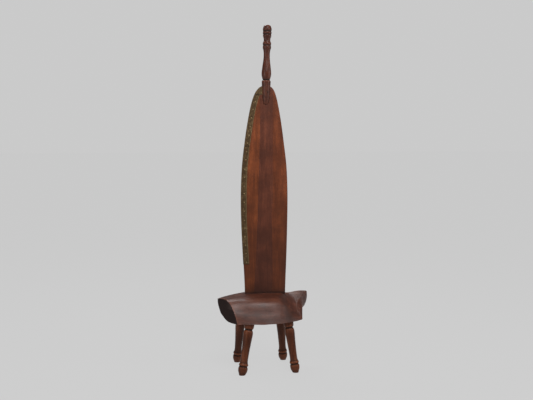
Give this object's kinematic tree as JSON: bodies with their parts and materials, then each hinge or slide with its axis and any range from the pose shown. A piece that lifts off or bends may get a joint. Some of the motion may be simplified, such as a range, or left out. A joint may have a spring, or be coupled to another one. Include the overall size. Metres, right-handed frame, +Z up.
{
  "type": "propeller chair",
  "caption": "Low chair with a tall back, made from a laminated wooden propeller: hub seat, brass-edged blade back, turned finial and four turned legs.",
  "frame": {"origin": "on the floor, under the middle of the whole chair's box", "axes": "+Z up, +Y towards the back, +X to the right of someone facing the chair's front"},
  "size_m": [0.4096, 0.2646, 1.5037],
  "materials": {
    "seat_mahogany": "worn satin varnish, dark red-brown",
    "blade_mahogany": "satin varnish, red-brown",
    "turned_wood": "satin varnish, warm red-brown",
    "aged_brass": "dull olive patina",
    "tack_brass": "rubbed brighter on the domes",
    "screw_steel": "plain"
  },
  "bodies": {
    "root": {"seat_ply_1": "seat_mahogany", "seat_ply_2": "seat_mahogany", "seat_ply_3": "seat_mahogany", "seat_ply_4": "seat_mahogany", "seat_ply_5": "seat_mahogany", "blade_ply_1": "blade_mahogany", "blade_ply_2": "blade_mahogany", "blade_ply_3": "blade_mahogany", "blade_ply_4": "blade_mahogany", "leg_front_left": "turned_wood", "leg_front_right": "turned_wood", "leg_back_left": "turned_wood", "leg_back_right": "turned_wood", "finial": "turned_wood", "finial_peg": "turned_wood", "brass_sheath_lower": "aged_brass", "brass_sheath_upper": "aged_brass", "brass_sheath_tip": "aged_brass", "sheath_tacks_front": "tack_brass", "sheath_tacks_back": "tack_brass", "tenon_screws": "screw_steel"}
  },
  "joints": []
}
